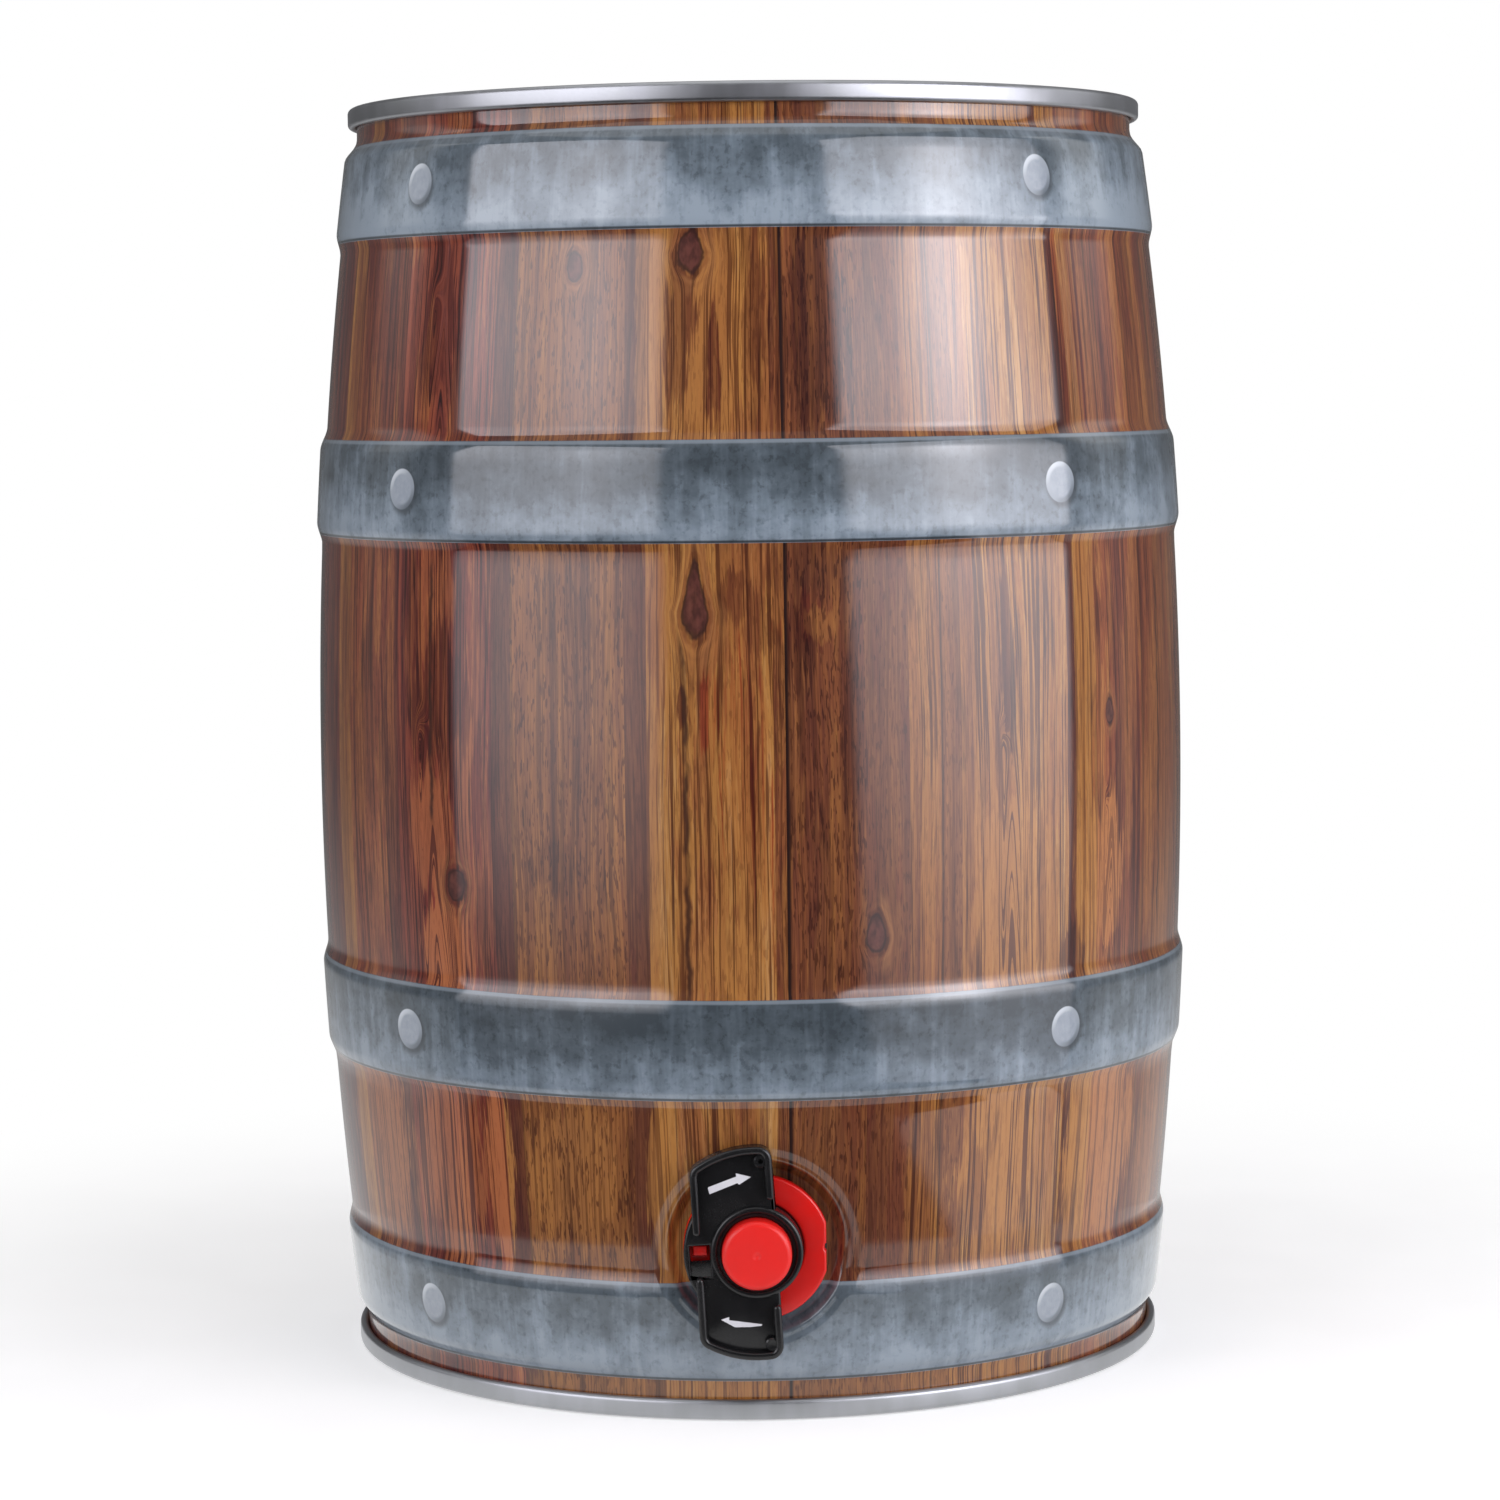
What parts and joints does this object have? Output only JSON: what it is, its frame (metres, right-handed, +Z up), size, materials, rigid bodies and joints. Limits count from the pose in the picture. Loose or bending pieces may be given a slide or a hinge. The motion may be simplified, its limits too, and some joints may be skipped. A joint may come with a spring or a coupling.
{
  "type": "barrel drink dispenser",
  "caption": "Barrel-shaped tinplate party keg with printed staves and embossed hoops, a pull-out tap with a turning winged handle low on the front, and a vent bung on top.",
  "frame": {"origin": "centre of the base ring, on the plane that the keg stands on", "axes": "+Z up along the keg's axis, -Y the way the tap faces, +X to the right of the tap"},
  "size_m": [0.1724, 0.1758, 0.245],
  "materials": {
    "printed_sheet": "glossy lacquered print of wood staves and steel hoops",
    "tinplate": "satin bare tinplate",
    "red_plastic": "satin moulded plastic",
    "black_plastic": "satin moulded plastic",
    "rubber": "matt",
    "white_plastic": "satin moulded plastic"
  },
  "bodies": {
    "keg": {"keg_body": "printed_sheet", "top_end": "tinplate", "bottom_end": "tinplate", "top_seam_compound": "rubber", "bottom_seam_compound": "rubber", "bung_grommet": "rubber", "tap_housing": "red_plastic", "wall_gasket": "rubber", "port_seal": "rubber"},
    "handle": {"valve_handle": "black_plastic", "sleeve_front_seal": "rubber", "sleeve_rear_seal": "rubber", "sleeve_plug": "white_plastic", "spout_seal": "rubber", "spout_wiper": "rubber"},
    "spout": {"spout": "red_plastic"},
    "vent": {"vent_core": "red_plastic", "vent_seal": "rubber"}
  },
  "joints": [
    {"name": "handle_turn", "type": "hinge", "parent": "keg", "child": "handle", "pos_m": [0, -0.082, 0.0325], "axis": [0, 1, 0], "range_deg": [0, 180]},
    {"name": "spout_pull", "type": "slide", "parent": "handle", "child": "spout", "axis": [0, -1, 0], "range_m": [0, 0.0335]},
    {"name": "vent_turn", "type": "hinge", "parent": "keg", "child": "vent", "pos_m": [0, 0, 0.238], "axis": [0, 0, 1], "range_deg": [0, 90]}
  ]
}
